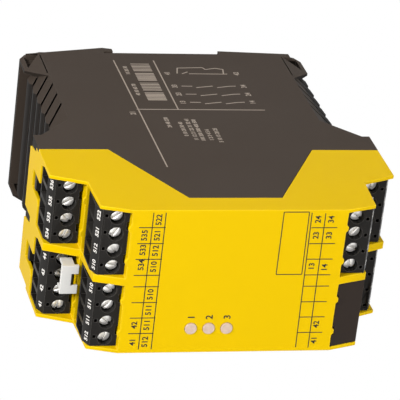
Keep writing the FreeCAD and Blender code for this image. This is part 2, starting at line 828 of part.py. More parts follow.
def make_clamp_screws(place):
    """Slotted clamp screws, one to a pole, each left at its own angle."""
    solids = []
    name = terminal_name("clamp_screws", place)
    ledge = s.head_face + s.head_height
    reach = s.head_width
    for pole in range(POLES):
        across = first_pole + s.pole_pitch * pole
        head = add_bar(name, s.head_width, BORE_SIDES, across, s.head_face, ledge)
        shank = add_bar(name, s.shank_width, SHANK_SIDES, across, ledge, s.screw_tip)
        joined = doc.addObject("Part::Fuse", name + "_blank")
        joined.Base = head
        joined.Tool = shank
        joined.Refine = True
        slot = doc.addObject("Part::Box", name + "_slot")
        bind(slot, "Length", 2 * reach)
        bind(slot, "Width", s.slot_cut + CLEAR)
        bind(slot, "Height", s.slot_width)
        turn = FreeCAD.Rotation(Vector(0, 1, 0), SLOT_ANGLES[place][pole])
        along = turn.multVec(Vector(-1, 0, 0))
        rise = turn.multVec(Vector(0, 0, -1))
        slot.Placement.Rotation = turn
        bind(slot, "Placement.Base.x", across + reach * along.x + s.slot_width / 2 * rise.x)
        bind(slot, "Placement.Base.y", s.head_face - CLEAR)
        bind(slot, "Placement.Base.z", s.screw_out + reach * along.z + s.slot_width / 2 * rise.z)
        screw = doc.addObject("Part::Cut", name + "_screw")
        screw.Base = joined
        screw.Tool = slot
        solids.append(screw)
    return group(name, solids, place)


def add_bar(name, width, sides, across, front, rear):
    """A many-sided bar along +Y on the screw line; its flats keep the width."""
    bar = doc.addObject("Part::Prism", name + "_bar")
    bar.Polygon = sides
    bind(bar, "Circumradius", width / 2 / cos(pi / sides))
    bind(bar, "Height", rear - front)
    upright = FreeCAD.Rotation(Vector(0, 0, 1), 180 / sides)
    bar.Placement.Rotation = FreeCAD.Rotation(Vector(1, 0, 0), -90) * upright
    bind(bar, "Placement.Base.x", across)
    bind(bar, "Placement.Base.y", front)
    bind(bar, "Placement.Base.z", s.screw_out)
    return bar


def group(name, solids, place=None):
    """Separate like solids in one node."""
    node = doc.addObject("Part::Compound", name)
    node.Label = name
    node.Links = solids
    if place:
        seat(node, place)
    return node


def make_clamp_cages(place):
    """Box clamps: a square ring with the screw's hole in its front wall."""
    body = new_body(terminal_name("clamp_cages", place))
    half = s.cage_width / 2
    wall = s.cage_wall
    outer = rectangle(first_pole - half, first_pole + half, s.cage_front, s.cage_rear)
    inner = rectangle(first_pole - half + wall, first_pole + half - wall,
                      s.cage_front + wall, s.cage_rear - wall)
    low = s.screw_out - s.cage_thick / 2
    ring = add_prism(body, "Z", low, low + s.cage_thick, outer, inner)
    hole = round_outline(first_pole, s.screw_out, s.shank_width, SHANK_SIDES)
    drill = cut_prism(body, "Y", s.cage_front, s.cage_front + wall, hole)
    repeat(body, [ring, drill], "X", s.pole_pitch, POLES)
    seat(body, place)
    return body


def make_contacts(place):
    """Bent contact strips: a bar under each screw and a leg back to the pin."""
    body = new_body(terminal_name("contacts", place))
    top = clamp_floor + s.strip_thick
    bar_top = s.screw_out + s.cage_thick / 2
    bar_rear = s.strip_face + s.strip_thick
    profile = [(s.strip_face, clamp_floor), (s.strip_face, bar_top), (bar_rear, bar_top),
               (bar_rear, top), (s.strip_end, top), (s.strip_end, clamp_floor)]
    half = s.strip_width / 2
    strip = add_prism(body, "X", first_pole - half, first_pole + half, profile)
    repeat(body, [strip], "X", s.pole_pitch, POLES)
    seat(body, place)
    return body


# a rear header reaches in to the wall that carries it
tier_gap = rear_inner - shoulder


def make_header(place):
    """Pin carrier in the floor of a terminal bay."""
    body = new_body(terminal_name("header", place))
    half = s.plug_width / 2
    inner = tier_gap * TIERS[place[1]]
    add_prism(body, "Y", header_front, header_rear, rectangle(-half, half, -inner, s.header_out))
    hole = rectangle(first_pole - s.pin_thick / 2, first_pole + s.pin_thick / 2,
                     pin_low, pin_low + s.pin_thick)
    cut = cut_prism(body, "Y", header_front, header_rear, hole)
    repeat(body, [cut], "X", s.pole_pitch, POLES)
    seat(body, place)
    return body


def make_header_pins(place):
    """Angled pins: straight through the header, then sideways to the circuit board."""
    name = terminal_name("header_pins", place)
    body = new_body(name)
    outward = SIDES[place[2]] * ENDS[place[0]]
    board_face = inner_half - s.board_gap - s.board_thick - bay_middle
    half = s.pin_thick / 2
    for pole in range(POLES):
        across = first_pole + s.pole_pitch * pole
        order = POLES - 1 - pole if outward > 0 else pole
        bend = header_rear + s.pin_bend_gap + s.pin_bend_pitch * order
        far = board_face * outward
        near_side = (across - half) if outward > 0 else (across + half)
        far_side = (across + half) if outward > 0 else (across - half)
        outline = [(near_side, s.pin_tip), (near_side, bend + s.pin_thick),
                   (far, bend + s.pin_thick), (far, bend), (far_side, bend), (far_side, s.pin_tip)]
        add_prism(body, "Z", pin_low, pin_low + s.pin_thick, outline)
    seat(body, place)
    return body


# ---------------------------------------------------------------- blank cover and clip

def make_blank_cover():
    """Folded cover that closes the terminal place with no plug."""
    body = new_body("blank_cover")
    wall = s.cover_wall
    sink = s.cover_sink
    slope = s.front_tip_drop / s.front_tip_out
    foot = s.shoulder_depth
    outer = s.front_tip_out
    inner = s.plug_inner
    near = inner * slope + sink
    far = outer * slope + sink
    profile = [(near, inner), (far, outer), (foot, s.shoulder_out), (foot, s.shoulder_out - wall),
               (far + wall, outer - wall), (near + wall, inner + wall),
               (s.plug_rear, inner + wall), (s.plug_rear, inner)]
    half = s.plug_width / 2
    add_prism(body, "X", -half, half, profile)
    web = [(near + wall / 2, inner + wall / 2), (far + wall / 2, outer - wall / 2),
           (s.plug_block_depth, s.plug_neck_out), (s.plug_block_depth, inner + wall / 2)]
    add_prism(body, "X", -half, -half + wall, web)
    add_prism(body, "X", half - wall, half, web)
    cut_bead_grooves(body, Size.of(0), s.plug_rear)
    seat(body, COVERED)
    return body


def make_marker_clip():
    """White clip over two screws of one plug, with two ears towards the inner wall."""
    body = new_body("marker_clip")
    top = s.plug_face - s.clip_top
    start = s.clip_start
    end = start + s.clip_long
    low = s.clip_inner
    ear = s.clip_ear
    floor = low + s.clip_notch
    plate = [(start, low), (start, s.clip_outer), (end, s.clip_outer), (end, low), (end - ear, low),
             (end - ear, floor), (start + ear, floor), (start + ear, low)]
    add_prism(body, "Y", top, top + s.clip_wall, plate)
    foot_low = s.plug_inner + s.bead_height + s.bead_gap
    foot_high = s.clip_outer - s.clip_foot_inset
    for left, right in ((start, start + s.clip_wall), (end - s.clip_wall, end)):
        foot = rectangle(left, right, foot_low, foot_high)
        add_prism(body, "Y", top + s.clip_wall / 2, s.plug_face, foot)
    seat(body, ("upper", "rear", "left"))
    return body


# ---------------------------------------------------------------- light pipes and inner parts

def make_light_pipes():
    """Three clear pipes on one moulded strip behind the face."""
    body = new_body("light_pipes")
    spots = [round_outline(-s.pipe_side, s.pipe_mid + s.pipe_pitch * step, s.pipe_width, FACE_SIDES)
             for step in (-1, 0, 1)]
    add_prism(body, "Y", at(-s.pipe_proud), at(s.pipe_length), *spots)
    reach = s.pipe_width / 2 + s.pipe_margin
    strip = rectangle(-s.pipe_side - reach, -s.pipe_side + reach,
                      s.pipe_mid - s.pipe_pitch - reach, s.pipe_mid + s.pipe_pitch + reach)
    add_prism(body, "Y", at(s.face_wall), at(s.face_wall + s.pipe_strip), strip)
    return body


def make_box(name, left, right, front, rear, low, high):
    """A plain block between three pairs of planes."""
    box = doc.addObject("Part::Box", name)
    box.Label = name
    for length, place, near, far in (("Length", "x", left, right), ("Width", "y", front, rear),
                                     ("Height", "z", low, high)):
        bind(box, length, Size.of(far) - near)
        bind(box, "Placement.Base." + place, near)
    return box


board_outer = inner_half - s.board_gap
board_inner = board_outer - s.board_thick


def board_outline():
    """Stepped circuit board that follows the case behind both rows of terminals."""
    gap = s.board_gap
    first = header_rear + gap
    second = first + s.tier_step
    low_edge = face_half - s.end_wall - gap
    mid_edge = shoulder - s.end_wall - gap
    top_edge = end_plane - s.base_wall - gap
    slope_edge = s.plate_half - s.louvre_wall - gap
    rear = at(s.face_depth) - s.rear_wall
    half = [(at(s.board_front), low_edge), (at(first), low_edge), (at(first), mid_edge),
            (at(second), mid_edge), (at(second), top_edge),
            (at(s.slope_end - s.base_wall - gap), slope_edge), (rear, slope_edge)]
    return half + mirror_up(half, -1)[::-1]


def make_boards():
    right = new_body("circuit_board_right")
    add_prism(right, "X", board_inner, board_outer, board_outline())
    left = new_body("circuit_board_left")
    add_prism(left, "X", -board_outer, -board_inner, board_outline())
    return [right, left]


def make_inner_parts():
    """What the two boards carry: relays, supply coil, capacitors, lights and the link."""
    parts = []
    for number in range(3):
        front = at(s.relay_first + s.relay_pitch * number)
        name = "relay_%d" % (number + 1)
        parts.append(make_box(name, board_inner - s.relay_tall, board_inner,
                              front, front + s.relay_wide, -s.relay_long / 2, s.relay_long / 2))
    parts.append(make_box("supply_coil", -board_inner, -board_inner + s.coil_tall, at(s.coil_first),
                          at(s.coil_first) + s.coil_wide, -s.coil_long / 2, s.coil_long / 2))
    cans = []
    for number in range(2):
        front = at(s.can_first + s.can_pitch * number)
        middle = front + s.can_width / 2
        can = new_body("capacitor")
        outline = round_outline(-board_inner + s.can_width / 2, middle, s.can_width, FACE_SIDES)
        add_prism(can, "Z", -s.can_long / 2, s.can_long / 2, outline)
        cans.append(can)
    parts.append(group("capacitors", cans))
    parts.append(make_box("board_link", -board_inner, board_inner, at(s.link_depth),
                          at(s.link_depth) + s.link_thick, -s.link_long / 2, s.link_long / 2))
    board = at(s.led_board_depth)
    reach = s.pipe_pitch + s.pipe_width / 2 + s.pipe_margin
    board_end = -s.pipe_side + s.led_board_reach
    parts.append(make_box("indicator_board", -board_inner, board_end, board,
                          board + s.board_thick, s.pipe_mid - reach, s.pipe_mid + reach))
    lights = []
    half = s.led_size / 2
    for step in (-1, 0, 1):
        middle = s.pipe_mid + s.pipe_pitch * step
        lights.append(make_box("light", -s.pipe_side - half, -s.pipe_side + half,
                               board - s.led_size, board, middle - half, middle + half))
    parts.append(group("indicator_lights", lights))
    return parts


# ---------------------------------------------------------------- build, check and export

nodes = [make_base_housing(), make_front_housing(), make_foot_latch(), make_latch_spring()]
for place in TERMINALS:
    nodes.append(make_plug(place))
    nodes.append(make_clamp_screws(place))
    nodes.append(make_clamp_cages(place))
    nodes.append(make_contacts(place))
    nodes.append(make_header(place))
    nodes.append(make_header_pins(place))
nodes += [make_blank_cover(), make_marker_clip(), make_light_pipes()]
nodes += make_boards()
nodes += make_inner_parts()

doc.recompute()
failed = [item.Label for item in doc.Objects if "Invalid" in item.State or "Error" in item.State]
if failed:
    raise RuntimeError("features that failed: " + ", ".join(failed))
for node in nodes:
    if node.Shape.isNull() or not node.Shape.isValid():
        raise RuntimeError("bad shape: " + node.Label)

os.makedirs("parts", exist_ok=True)
for node in nodes:
    node.Shape.exportStep(os.path.join("parts", node.Label + ".step"))
print(len(nodes), "pieces")
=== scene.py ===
"""Looks of the rail-mounted safety relay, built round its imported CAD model.

Metres.  X is the width, the front faces -Y, +Z is up as mounted on a rail.
"""
import json
import math

import bmesh
import bpy
from mathutils import Matrix, Vector


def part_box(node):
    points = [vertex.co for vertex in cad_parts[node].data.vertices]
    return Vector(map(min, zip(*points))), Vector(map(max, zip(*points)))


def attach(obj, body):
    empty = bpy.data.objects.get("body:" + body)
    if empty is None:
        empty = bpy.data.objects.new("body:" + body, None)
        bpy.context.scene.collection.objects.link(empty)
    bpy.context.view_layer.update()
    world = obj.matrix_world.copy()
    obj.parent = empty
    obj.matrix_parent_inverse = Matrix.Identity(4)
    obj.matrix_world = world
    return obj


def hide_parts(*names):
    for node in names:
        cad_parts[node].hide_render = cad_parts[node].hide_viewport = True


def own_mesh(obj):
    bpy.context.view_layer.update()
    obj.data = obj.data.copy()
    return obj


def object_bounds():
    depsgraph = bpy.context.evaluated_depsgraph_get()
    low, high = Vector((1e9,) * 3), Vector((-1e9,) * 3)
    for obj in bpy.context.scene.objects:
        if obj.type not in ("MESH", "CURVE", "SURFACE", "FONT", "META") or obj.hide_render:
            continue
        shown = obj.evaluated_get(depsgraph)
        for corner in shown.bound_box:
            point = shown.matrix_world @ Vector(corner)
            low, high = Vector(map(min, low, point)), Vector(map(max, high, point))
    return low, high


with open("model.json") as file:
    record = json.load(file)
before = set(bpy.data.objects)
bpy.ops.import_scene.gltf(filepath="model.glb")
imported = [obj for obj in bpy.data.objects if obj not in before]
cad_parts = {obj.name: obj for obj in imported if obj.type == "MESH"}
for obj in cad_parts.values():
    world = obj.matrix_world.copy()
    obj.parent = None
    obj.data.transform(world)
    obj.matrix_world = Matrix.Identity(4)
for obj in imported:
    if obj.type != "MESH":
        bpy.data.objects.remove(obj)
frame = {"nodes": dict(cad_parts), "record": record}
cad_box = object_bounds()
nodes = frame["nodes"]
MM = 0.001

body_of_node = {}
for body_name, members in frame["record"]["behaviour"]["bodies"].items():
    for member in members:
        body_of_node[member] = body_name

slot_of_node = {}
for entry in frame["record"]["subparts"]:
    slot_of_node[entry["node"]] = entry["material_slot"]

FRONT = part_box("front_housing")[0].y
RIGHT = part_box("base_housing")[1].x
POLE_PITCH = 5.08 * MM
HEAD_RADIUS = 1.84 * MM
HEAD_HEIGHT = 1.6 * MM
SHANK_RADIUS = 1.25 * MM
BORE_RADIUS = 2.07 * MM
SLOT_WIDTH = 0.7 * MM
SLOT_CUT = 0.8 * MM
ROUNDED_ABOVE = math.radians(28)
SHARP_ABOVE = math.radians(42)
INK_LIFT = 0.02 * MM
FRONT_LINE = 0.27
SIDE_LINE = 0.38
FRONT_TEXT = 2.3 * MM
LIGHT_TEXT = 2.8 * MM
SIDE_TEXT = 2.3 * MM
ROW_TEXT = 1.7 * MM
PLUG_TEXT = 2.0 * MM


# ------------------------------------------------------------------ camera

def place_camera():
    """Long lens, well above and to the right of the device, rolled so that its top points left."""
    lens = bpy.data.cameras.new("studio_camera")
    lens.lens = 269.17
    lens.sensor_width = 36.0
    lens.clip_start = 0.05
    lens.clip_end = 20.0
    camera = bpy.data.objects.new("studio_camera", lens)
    right = Vector((0.110427, -0.222963, -0.968552))
    up = Vector((0.894459, 0.447149, -0.000955))
    back = right.cross(up)
    turn = Matrix((right, up, back)).transposed().to_4x4()
    camera.matrix_world = Matrix.Translation((0.38191, -0.81934, 0.21710)) @ turn
    bpy.context.scene.collection.objects.link(camera)
    bpy.context.scene.camera = camera


# ------------------------------------------------------------------ studio

def add_lamp(name, place, size, power, tint=(1, 1, 1)):
    lamp = bpy.data.lights.new(name, "AREA")
    lamp.shape = "DISK"
    lamp.size = size
    lamp.energy = power
    lamp.color = tint
    holder = bpy.data.objects.new(name, lamp)
    holder.location = place
    aim = Vector((0, -0.05, 0)) - Vector(place)
    holder.rotation_euler = aim.to_track_quat("-Z", "Y").to_euler()
    bpy.context.scene.collection.objects.link(holder)


def seen_directly(tree):
    """1 for what the camera sees straight, in gloss or through glass, 0 for light on the object."""
    path = tree.nodes.new("ShaderNodeLightPath")
    first = tree.nodes.new("ShaderNodeMath")
    first.operation = "MAXIMUM"
    tree.links.new(path.outputs["Is Camera Ray"], first.inputs[0])
    tree.links.new(path.outputs["Is Glossy Ray"], first.inputs[1])
    second = tree.nodes.new("ShaderNodeMath")
    second.operation = "MAXIMUM"
    tree.links.new(first.outputs[0], second.inputs[0])
    tree.links.new(path.outputs["Is Transmission Ray"], second.inputs[1])
    return second.outputs[0]


def light_studio():
    world = bpy.data.worlds.new("studio")
    bpy.context.scene.world = world
    world.use_nodes = True
    tree = world.node_tree
    background = tree.nodes["Background"]
    background.inputs["Color"].default_value = (1, 1, 1, 1)
    strength = tree.nodes.new("ShaderNodeMapRange")
    strength.inputs["To Min"].default_value = 0.12
    strength.inputs["To Max"].default_value = 1.0
    tree.links.new(seen_directly(tree), strength.inputs["Value"])
    tree.links.new(strength.outputs["Result"], background.inputs["Strength"])
    add_lamp("key_lamp", (0.50, -0.47, 0.76), 0.40, 13.5, (1.0, 0.985, 0.96))
    add_lamp("front_lamp", (-0.10, -1.10, 0.10), 0.60, 4.0)
    add_lamp("low_lamp", (0.10, -0.60, -0.70), 0.60, 0.7)
    add_lamp("rear_lamp", (-0.78, 0.50, 0.10), 0.50, 5.5)


def lay_floor():
    mesh = bpy.data.meshes.new("studio_floor")
    reach = 1.6
    height = cad_box[0].z - 0.15
    corners = [(-reach, -reach, height), (reach, -reach, height), (reach, reach, height),
               (-reach, reach, height)]
    mesh.from_pydata(corners, [], [(0, 1, 2, 3)])
    floor = bpy.data.objects.new("studio_floor", mesh)
    bpy.context.scene.collection.objects.link(floor)
    material = bpy.data.materials.new("pale_floor")
    material.use_nodes = True
    tree = material.node_tree
    shader = tree.nodes["Principled BSDF"]
    shader.inputs["Base Color"].default_value = (0.92, 0.92, 0.92, 1)
    shader.inputs["Roughness"].default_value = 0.9
    glow = tree.nodes.new("ShaderNodeEmission")
    glow.inputs["Color"].default_value = (1, 1, 1, 1)
    share = tree.nodes.new("ShaderNodeMath")
    share.operation = "MULTIPLY"
    share.inputs[1].default_value = 1.0
    tree.links.new(seen_directly(tree), share.inputs[0])
    mix = tree.nodes.new("ShaderNodeMixShader")
    tree.links.new(share.outputs[0], mix.inputs["Fac"])
    tree.links.new(shader.outputs["BSDF"], mix.inputs[1])
    tree.links.new(glow.outputs["Emission"], mix.inputs[2])
    tree.links.new(mix.outputs["Shader"], tree.nodes["Material Output"].inputs["Surface"])
    mesh.materials.append(material)


# ------------------------------------------------------------------ shared shader groups

def new_group(name, inputs, outputs):
    """A shader node group with named float inputs and named outputs."""
    group = bpy.data.node_groups.new(name, "ShaderNodeTree")
    for label, value in inputs:
        socket = group.interface.new_socket(label, in_out="INPUT", socket_type="NodeSocketFloat")
        socket.default_value = value
    for label in outputs:
        group.interface.new_socket(label, in_out="OUTPUT", socket_type="NodeSocketFloat")
    return group, group.nodes.new("NodeGroupInput"), group.nodes.new("NodeGroupOutput")


def calculate(group, operation, *values):
    """A Math node; each value is a socket or a number."""
    node = group.nodes.new("ShaderNodeMath")
    node.operation = operation
    for index, value in enumerate(values):
        if isinstance(value, (int, float)):
            node.inputs[index].default_value = value
        else:
            group.links.new(value, node.inputs[index])
    return node.outputs[0]


def noise(group, place, scale, detail=2.0, roughness=0.5):
    node = group.nodes.new("ShaderNodeTexNoise")
    node.inputs["Detail"].default_value = detail
    node.inputs["Roughness"].default_value = roughness
    group.links.new(place, node.inputs["Vector"])
    if isinstance(scale, (int, float)):
        node.inputs["Scale"].default_value = scale
    else:
        group.links.new(scale, node.inputs["Scale"])
    return node.outputs["Fac"]


def build_moulded_grain():
    """Spark-eroded mould texture: fine pits, and slow drifts of gloss and shade."""
    group, given, result = new_group(
        "moulded_grain", [("Pits per metre", 2600.0), ("Gloss drift", 0.08), ("Shade drift", 0.05)],
        ["Height", "Roughness offset", "Shade"])
    place = group.nodes.new("ShaderNodeTexCoord").outputs["Object"]
    pits = noise(group, place, given.outputs["Pits per metre"], 3.0, 0.6)
    cells = group.nodes.new("ShaderNodeTexVoronoi")
    group.links.new(place, cells.inputs["Vector"])
    group.links.new(given.outputs["Pits per metre"], cells.inputs["Scale"])
    height = calculate(group, "MULTIPLY_ADD", cells.outputs["Distance"], 0.6, pits)
    drift = noise(group, place, 34.0, 3.0)
    centred = calculate(group, "SUBTRACT", drift, 0.5)
    offset = calculate(group, "MULTIPLY", centred, given.outputs["Gloss drift"])
    slow = calculate(group, "SUBTRACT", noise(group, place, 14.0, 2.0), 0.5)
    fine = calculate(group, "SUBTRACT", pits, 0.5)
    both = calculate(group, "MULTIPLY_ADD", fine, 0.6, slow)
    shade = calculate(group, "MULTIPLY_ADD", both, given.outputs["Shade drift"], 1.0)
    group.links.new(height, result.inputs["Height"])
    group.links.new(offset, result.inputs["Roughness offset"])
    group.links.new(shade, result.inputs["Shade"])
    return group


def build_edge_wear_and_highlight():
    """A mask that is 1 along outer edges, broken up, where they are paled: partly wear from
    handling, partly a painted highlight.
    """
    group, given, result = new_group("edge_wear_and_highlight", [("Reach", 0.0003), ("Amount", 0.5)], ["Mask"])
    surface = group.nodes.new("ShaderNodeNewGeometry")
    bevel = group.nodes.new("ShaderNodeBevel")
    bevel.samples = 4
    group.links.new(given.outputs["Reach"], bevel.inputs["Radius"])
    compare = group.nodes.new("ShaderNodeVectorMath")
    compare.operation = "DOT_PRODUCT"
    group.links.new(surface.outputs["Normal"], compare.inputs[0])
    group.links.new(bevel.outputs["Normal"], compare.inputs[1])
    bend = calculate(group, "SUBTRACT", 1.0, compare.outputs["Value"])
    ramp = group.nodes.new("ShaderNodeMapRange")
    ramp.inputs["From Min"].default_value = 0.01
    ramp.inputs["From Max"].default_value = 0.22
    group.links.new(bend, ramp.inputs["Value"])
    place = group.nodes.new("ShaderNodeTexCoord").outputs["Object"]
    breaks = noise(group, place, 420.0, 3.0, 0.65)
    paled_edges = calculate(group, "MULTIPLY", ramp.outputs["Result"], breaks)
    mask = calculate(group, "MULTIPLY", paled_edges, given.outputs["Amount"])
    group.links.new(mask, result.inputs["Mask"])
    return group


def build_fine_scratches():
    """Drawn or turned metal: long fine scratches and small smudges."""
    group, given, result = new_group(
        "fine_scratches", [("Lines per metre", 9000.0), ("Depth", 0.2)],
        ["Height", "Roughness offset"])
    place = group.nodes.new("ShaderNodeTexCoord").outputs["Object"]
    stretch = group.nodes.new("ShaderNodeMapping")
    stretch.inputs["Scale"].default_value = (0.08, 1.0, 1.0)
    group.links.new(place, stretch.inputs["Vector"])
    lines = noise(group, stretch.outputs["Vector"], given.outputs["Lines per metre"], 2.0)
    smudge = calculate(group, "SUBTRACT", noise(group, place, 900.0, 2.0), 0.5)
    height = calculate(group, "MULTIPLY", lines, given.outputs["Depth"])
    offset = calculate(group, "MULTIPLY", smudge, given.outputs["Depth"])
    group.links.new(height, result.inputs["Height"])
    group.links.new(offset, result.inputs["Roughness offset"])
    return group


def build_painted_end_shade():
    """Painted shade on a moulding: its end walls and the hollow at its lower end are darkened in
    colour.
    """
    group, given, result = new_group(
        "painted_end_shade", [("Darkening", 0.6), ("Hollow below", -0.030), ("Hollow inside", 0.021)],
        ["Shade"])
    facing = group.nodes.new("ShaderNodeSeparateXYZ")
    surface = group.nodes.new("ShaderNodeNewGeometry")
    group.links.new(surface.outputs["Normal"], facing.inputs["Vector"])
    # Painted shade: walls facing up or down are darkened in colour.
    ramp = group.nodes.new("ShaderNodeMapRange")
    ramp.inputs["From Min"].default_value = 0.45
    ramp.inputs["From Max"].default_value = 0.80
    steep = calculate(group, "ABSOLUTE", facing.outputs["Z"])
    group.links.new(steep, ramp.inputs["Value"])
    place = group.nodes.new("ShaderNodeSeparateXYZ")
    coordinates = group.nodes.new("ShaderNodeTexCoord").outputs["Object"]
    group.links.new(coordinates, place.inputs["Vector"])
    # Painted shadow: the hollow at the lower end is darkened in colour.
    below = calculate(group, "LESS_THAN", place.outputs["Z"], given.outputs["Hollow below"])
    inside = calculate(group, "LESS_THAN", calculate(group, "ABSOLUTE", place.outputs["X"]),
                       given.outputs["Hollow inside"])
    hollow = calculate(group, "MULTIPLY", below, inside)
    dark = calculate(group, "MAXIMUM", hollow, ramp.outputs["Result"])
    loss = calculate(group, "MULTIPLY", dark, given.outputs["Darkening"])
    group.links.new(calculate(group, "SUBTRACT", 1.0, loss), result.inputs["Shade"])
    return group


moulded_grain = build_moulded_grain()
painted_end_shade = build_painted_end_shade()
edge_wear_and_highlight = build_edge_wear_and_highlight()
fine_scratches = build_fine_scratches()


# ------------------------------------------------------------------ finishes

def use_group(tree, group, **values):
    node = tree.nodes.new("ShaderNodeGroup")
    node.node_tree = group
    for label, value in values.items():
        node.inputs[label.replace("_", " ")].default_value = value
    return node


def start_material(name, roughness, metallic=0.0):
    material = bpy.data.materials.new(name)
    material.use_nodes = True
    shader = material.node_tree.nodes["Principled BSDF"]
    shader.inputs["Metallic"].default_value = metallic
    shader.inputs["Roughness"].default_value = roughness
    return material, material.node_tree, shader


def vary_roughness(tree, shader, roughness, offset):
    total = calculate(tree, "ADD", offset, roughness)
    tree.links.new(total, shader.inputs["Roughness"])


def bump(tree, shader, height, strength, distance):
    node = tree.nodes.new("ShaderNodeBump")
    node.inputs["Strength"].default_value = strength
    node.inputs["Distance"].default_value = distance
    tree.links.new(height, node.inputs["Height"])
    tree.links.new(node.outputs["Normal"], shader.inputs["Normal"])


def moulded_plastic(name, colour, edge_wear_and_highlight_colour, roughness, pits=2600.0, depth=0.25, edge_wear_and_highlight_amount=0.6,
                    reach=0.0003, shade_drift=0.06, gloss=0.25, painted_end_shade_amount=0.0):
    """Injection-moulded plastic with its mould grain, outer edges paled partly by wear and partly
    as a painted highlight, and end walls darkened as painted shade where asked.
    """
    material, tree, shader = start_material(name, roughness)
    shader.inputs["Specular IOR Level"].default_value = gloss
    grain = use_group(tree, moulded_grain, Pits_per_metre=pits, Gloss_drift=0.16,
                      Shade_drift=shade_drift)
    edge_wear_and_highlight_node = use_group(tree, edge_wear_and_highlight, Reach=reach, Amount=edge_wear_and_highlight_amount)
    tone = tree.nodes.new("ShaderNodeVectorMath")
    tone.operation = "SCALE"
    tone.inputs[0].default_value = colour
    # Painted shade on end walls and the lower hollow, scaled by the last argument.
    ends = use_group(tree, painted_end_shade, Darkening=painted_end_shade_amount)
    shade = calculate(tree, "MULTIPLY", grain.outputs["Shade"], ends.outputs["Shade"])
    tree.links.new(shade, tone.inputs["Scale"])
    # Edges blend toward the second colour: partly wear, partly a painted highlight.
    blend = tree.nodes.new("ShaderNodeMix")
    blend.data_type = "RGBA"
    blend.inputs["B"].default_value = (*edge_wear_and_highlight_colour, 1)
    tree.links.new(edge_wear_and_highlight_node.outputs["Mask"], blend.inputs["Factor"])
    tree.links.new(tone.outputs["Vector"], blend.inputs["A"])
    tree.links.new(blend.outputs["Result"], shader.inputs["Base Color"])
    vary_roughness(tree, shader, roughness, grain.outputs["Roughness offset"])
    bump(tree, shader, grain.outputs["Height"], depth, 0.00004)
    return material


def plated_metal(name, colour, roughness, lines=9000.0, depth=0.2, metallic=1.0):
    """Bright plated metal with fine scratches and uneven gloss."""
    material, tree, shader = start_material(name, roughness, metallic)
    marks = use_group(tree, fine_scratches, Lines_per_metre=lines, Depth=depth)
    shader.inputs["Base Color"].default_value = (*colour, 1)
    vary_roughness(tree, shader, roughness, marks.outputs["Roughness offset"])
    bump(tree, shader, marks.outputs["Height"], 0.12, 0.00002)
    return material


def milky_lens(name):
    """Moulded light pipe: milky, slightly pink and uneven, with a glossy coat."""
    material, tree, shader = start_material(name, 0.22)
    blend = tree.nodes.new("ShaderNodeMix")
    blend.data_type = "RGBA"
    blend.inputs["A"].default_value = (0.46, 0.31, 0.23, 1)
    blend.inputs["B"].default_value = (0.64, 0.51, 0.41, 1)
    place = tree.nodes.new("ShaderNodeTexCoord").outputs["Object"]
    clouds = noise(tree, place, 700.0, 2.0)
    tree.links.new(clouds, blend.inputs["Factor"])
    tree.links.new(blend.outputs["Result"], shader.inputs["Base Color"])
    shader.inputs["Subsurface Weight"].default_value = 0.25
    shader.inputs["Subsurface Radius"].default_value = (0.002, 0.0012, 0.001)
    shader.inputs["Subsurface Scale"].default_value = 1.0
    shader.inputs["Coat Weight"].default_value = 0.35
    return material


def board_laminate(name):
    """Solder mask over copper tracks on glass laminate."""
    material, tree, shader = start_material(name, 0.35)
    place = tree.nodes.new("ShaderNodeTexCoord").outputs["Object"]
    tracks = tree.nodes.new("ShaderNodeTexBrick")
    tracks.inputs["Scale"].default_value = 160.0
    tracks.inputs["Color1"].default_value = (0.018, 0.13, 0.045, 1)
    tracks.inputs["Color2"].default_value = (0.022, 0.16, 0.055, 1)
    tracks.inputs["Mortar"].default_value = (0.05, 0.28, 0.10, 1)
    tracks.inputs["Mortar Size"].default_value = 0.06
    turn = tree.nodes.new("ShaderNodeMapping")
    turn.inputs["Rotation"].default_value = (0, math.radians(90), 0)
    tree.links.new(place, turn.inputs["Vector"])
    tree.links.new(turn.outputs["Vector"], tracks.inputs["Vector"])
    tree.links.new(tracks.outputs["Color"], shader.inputs["Base Color"])
    bump(tree, shader, tracks.outputs["Fac"], 0.3, 0.00003)
    return material


